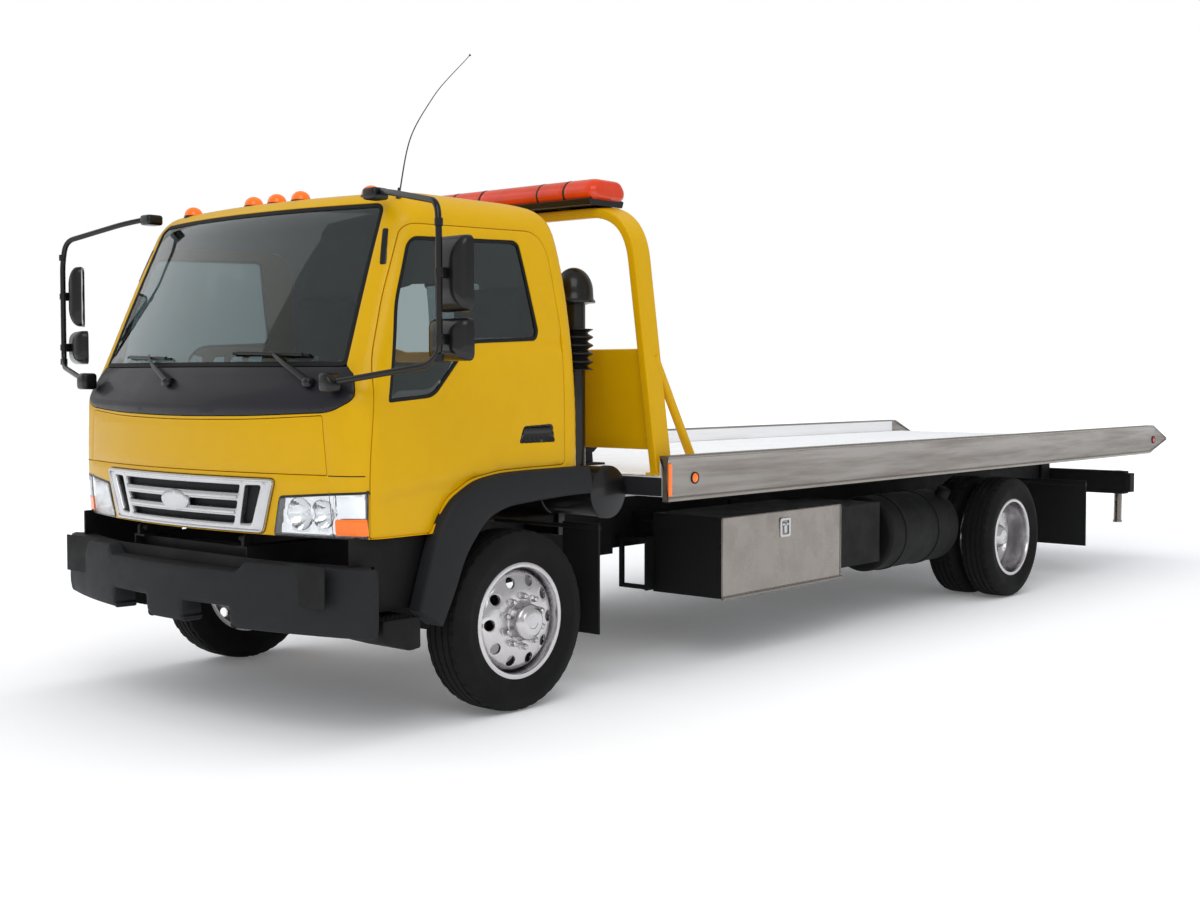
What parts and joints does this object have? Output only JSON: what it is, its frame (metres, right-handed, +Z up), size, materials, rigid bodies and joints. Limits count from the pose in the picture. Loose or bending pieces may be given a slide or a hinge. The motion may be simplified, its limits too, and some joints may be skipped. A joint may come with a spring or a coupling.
{
  "type": "flatbed tow truck",
  "caption": "Two-axle rollback tow truck: tilting cab-over cab, tilting and sliding flat bed with side rails, headboard with light bar, winch and drop-door toolboxes.",
  "frame": {"origin": "on the ground under the middle of the vehicle's box", "axes": "+Y to the rear of the vehicle, +X to its left (driver's) side, +Z up"},
  "size_m": [3.02, 8.443, 2.9221],
  "materials": {
    "cab_paint": "gloss yellow paint",
    "dark_paint": "satin black chassis paint",
    "dark_plastic": "textured charcoal moulding",
    "gloss_black": "gloss black moulding",
    "bright_trim": "bright silver finish",
    "aluminium": "mill-finish aluminium",
    "polished": "polished forged aluminium",
    "tyre": "black rubber",
    "glass": "tinted glass",
    "clear_lens": "clear lens",
    "amber_lens": "translucent amber and red lens",
    "seat_cloth": "grey woven cloth",
    "interior": "grey grained moulding",
    "axle_iron": "black painted iron",
    "rod_chrome": "hard chrome",
    "flap_rubber": "moulded rubber sheet",
    "deck_alloy": "pale aluminium deck"
  },
  "bodies": {
    "chassis": {"frame_rails": "dark_paint", "frame_crossmembers": "dark_paint", "bumper": "dark_plastic", "front_axle_beam": "axle_iron", "leaf_springs": "axle_iron", "rear_axle": "axle_iron", "engine": "axle_iron", "drive_line": "axle_iron", "fuel_tank": "dark_paint", "battery_box": "dark_paint", "toolbox_left": "aluminium", "toolbox_right": "aluminium", "mud_flaps": "flap_rubber", "lamp_beam": "dark_paint", "stand_tube": "aluminium", "air_intake": "gloss_black", "entry_steps": "dark_paint"},
    "cab": {"cab_shell": "cab_paint", "front_panel": "cab_paint", "cowl_band": "gloss_black", "grille": "bright_trim", "headlamps": "clear_lens", "windscreen": "glass", "rear_window": "glass", "fenders": "dark_plastic", "roof_lamps": "amber_lens", "mirror_arms": "gloss_black", "mirror_heads": "gloss_black", "wipers": "gloss_black", "aerial": "gloss_black", "seats": "seat_cloth", "dashboard": "interior", "steering_wheel": "interior"},
    "door_left": {"door_left": "cab_paint", "door_glass_left": "glass"},
    "door_right": {"door_right": "cab_paint", "door_glass_right": "glass"},
    "knuckle_left": {"knuckle_left": "axle_iron"},
    "knuckle_right": {"knuckle_right": "axle_iron"},
    "wheel_front_left": {"tyre_front_left": "tyre", "rim_front_left": "polished"},
    "wheel_front_right": {"tyre_front_right": "tyre", "rim_front_right": "polished"},
    "wheels_rear_left": {"tyres_rear_left": "tyre", "rims_rear_left": "polished"},
    "wheels_rear_right": {"tyres_rear_right": "tyre", "rims_rear_right": "polished"},
    "toolbox_door_left": {"toolbox_door_left": "aluminium"},
    "toolbox_door_right": {"toolbox_door_right": "aluminium"},
    "tilt_frame": {"tilt_frame": "dark_paint"},
    "lift_barrels": {"lift_barrels": "dark_paint"},
    "lift_rods": {"lift_rods": "rod_chrome"},
    "bed": {"bed_deck": "deck_alloy", "bed_rails": "aluminium", "headboard": "cab_paint", "light_bar": "amber_lens", "bed_lamps": "amber_lens", "winch_frame": "dark_paint"},
    "winch_drum": {"winch_drum": "axle_iron"}
  },
  "joints": [
    {"name": "bed_tilt", "type": "hinge", "parent": "chassis", "child": "tilt_frame", "pos_m": [0, 3.625, 0.8], "axis": [-1, 0, 0], "range_deg": [0, 15]},
    {"name": "bed_slide", "type": "slide", "parent": "tilt_frame", "child": "bed", "axis": [0, 1, 0], "range_m": [0, 3]},
    {"name": "lift_pivot", "type": "hinge", "parent": "chassis", "child": "lift_barrels", "pos_m": [0, -0.125, 0.55], "axis": [1, 0, 0], "range_deg": [0, 23.7]},
    {"name": "lift_stroke", "type": "slide", "parent": "lift_barrels", "child": "lift_rods", "axis": [0, 0.9716, 0.2366], "range_m": [0, 0.3852]},
    {"name": "winch_turn", "type": "hinge", "parent": "bed", "child": "winch_drum", "pos_m": [0, -1.825, 1.16], "axis": [1, 0, 0], "continuous": true},
    {"name": "cab_tilt", "type": "hinge", "parent": "chassis", "child": "cab", "pos_m": [0, -4.06, 0.8], "axis": [1, 0, 0], "range_deg": [0, 45]},
    {"name": "door_left_swing", "type": "hinge", "parent": "cab", "child": "door_left", "pos_m": [1.066, -3.93, 1.3], "axis": [0, 0, -1], "range_deg": [0, 60]},
    {"name": "door_right_swing", "type": "hinge", "parent": "cab", "child": "door_right", "pos_m": [-1.066, -3.93, 1.3], "axis": [0, 0, 1], "range_deg": [0, 60]},
    {"name": "steer_left", "type": "hinge", "parent": "chassis", "child": "knuckle_left", "pos_m": [0.85, -3.125, 0.405], "axis": [0, 0, 1], "range_deg": [-35, 35]},
    {"name": "steer_right", "type": "hinge", "parent": "chassis", "child": "knuckle_right", "pos_m": [-0.85, -3.125, 0.405], "axis": [0, 0, 1], "range_deg": [-35, 35]},
    {"name": "roll_front_left", "type": "hinge", "parent": "knuckle_left", "child": "wheel_front_left", "pos_m": [1, -3.125, 0.405], "axis": [1, 0, 0], "continuous": true},
    {"name": "roll_front_right", "type": "hinge", "parent": "knuckle_right", "child": "wheel_front_right", "pos_m": [-1, -3.125, 0.405], "axis": [1, 0, 0], "continuous": true},
    {"name": "roll_rear_left", "type": "hinge", "parent": "chassis", "child": "wheels_rear_left", "pos_m": [0.98, 1.485, 0.405], "axis": [1, 0, 0], "continuous": true},
    {"name": "roll_rear_right", "type": "hinge", "parent": "chassis", "child": "wheels_rear_right", "pos_m": [-0.98, 1.485, 0.405], "axis": [1, 0, 0], "continuous": true},
    {"name": "toolbox_left_drop", "type": "hinge", "parent": "chassis", "child": "toolbox_door_left", "pos_m": [1.112, -1.1, 0.335], "axis": [0, 1, 0], "range_deg": [0, 90]},
    {"name": "toolbox_right_drop", "type": "hinge", "parent": "chassis", "child": "toolbox_door_right", "pos_m": [-1.112, -1.1, 0.335], "axis": [0, -1, 0], "range_deg": [0, 90]}
  ],
  "couplings": [
    {"joint": "steer_right", "follows": "steer_left", "ratio": 1},
    {"joint": "lift_pivot", "follows": "bed_tilt", "ratio": 1.5791},
    {"joint": "lift_stroke", "follows": "bed_tilt", "m_per_rad": 1.4694}
  ]
}
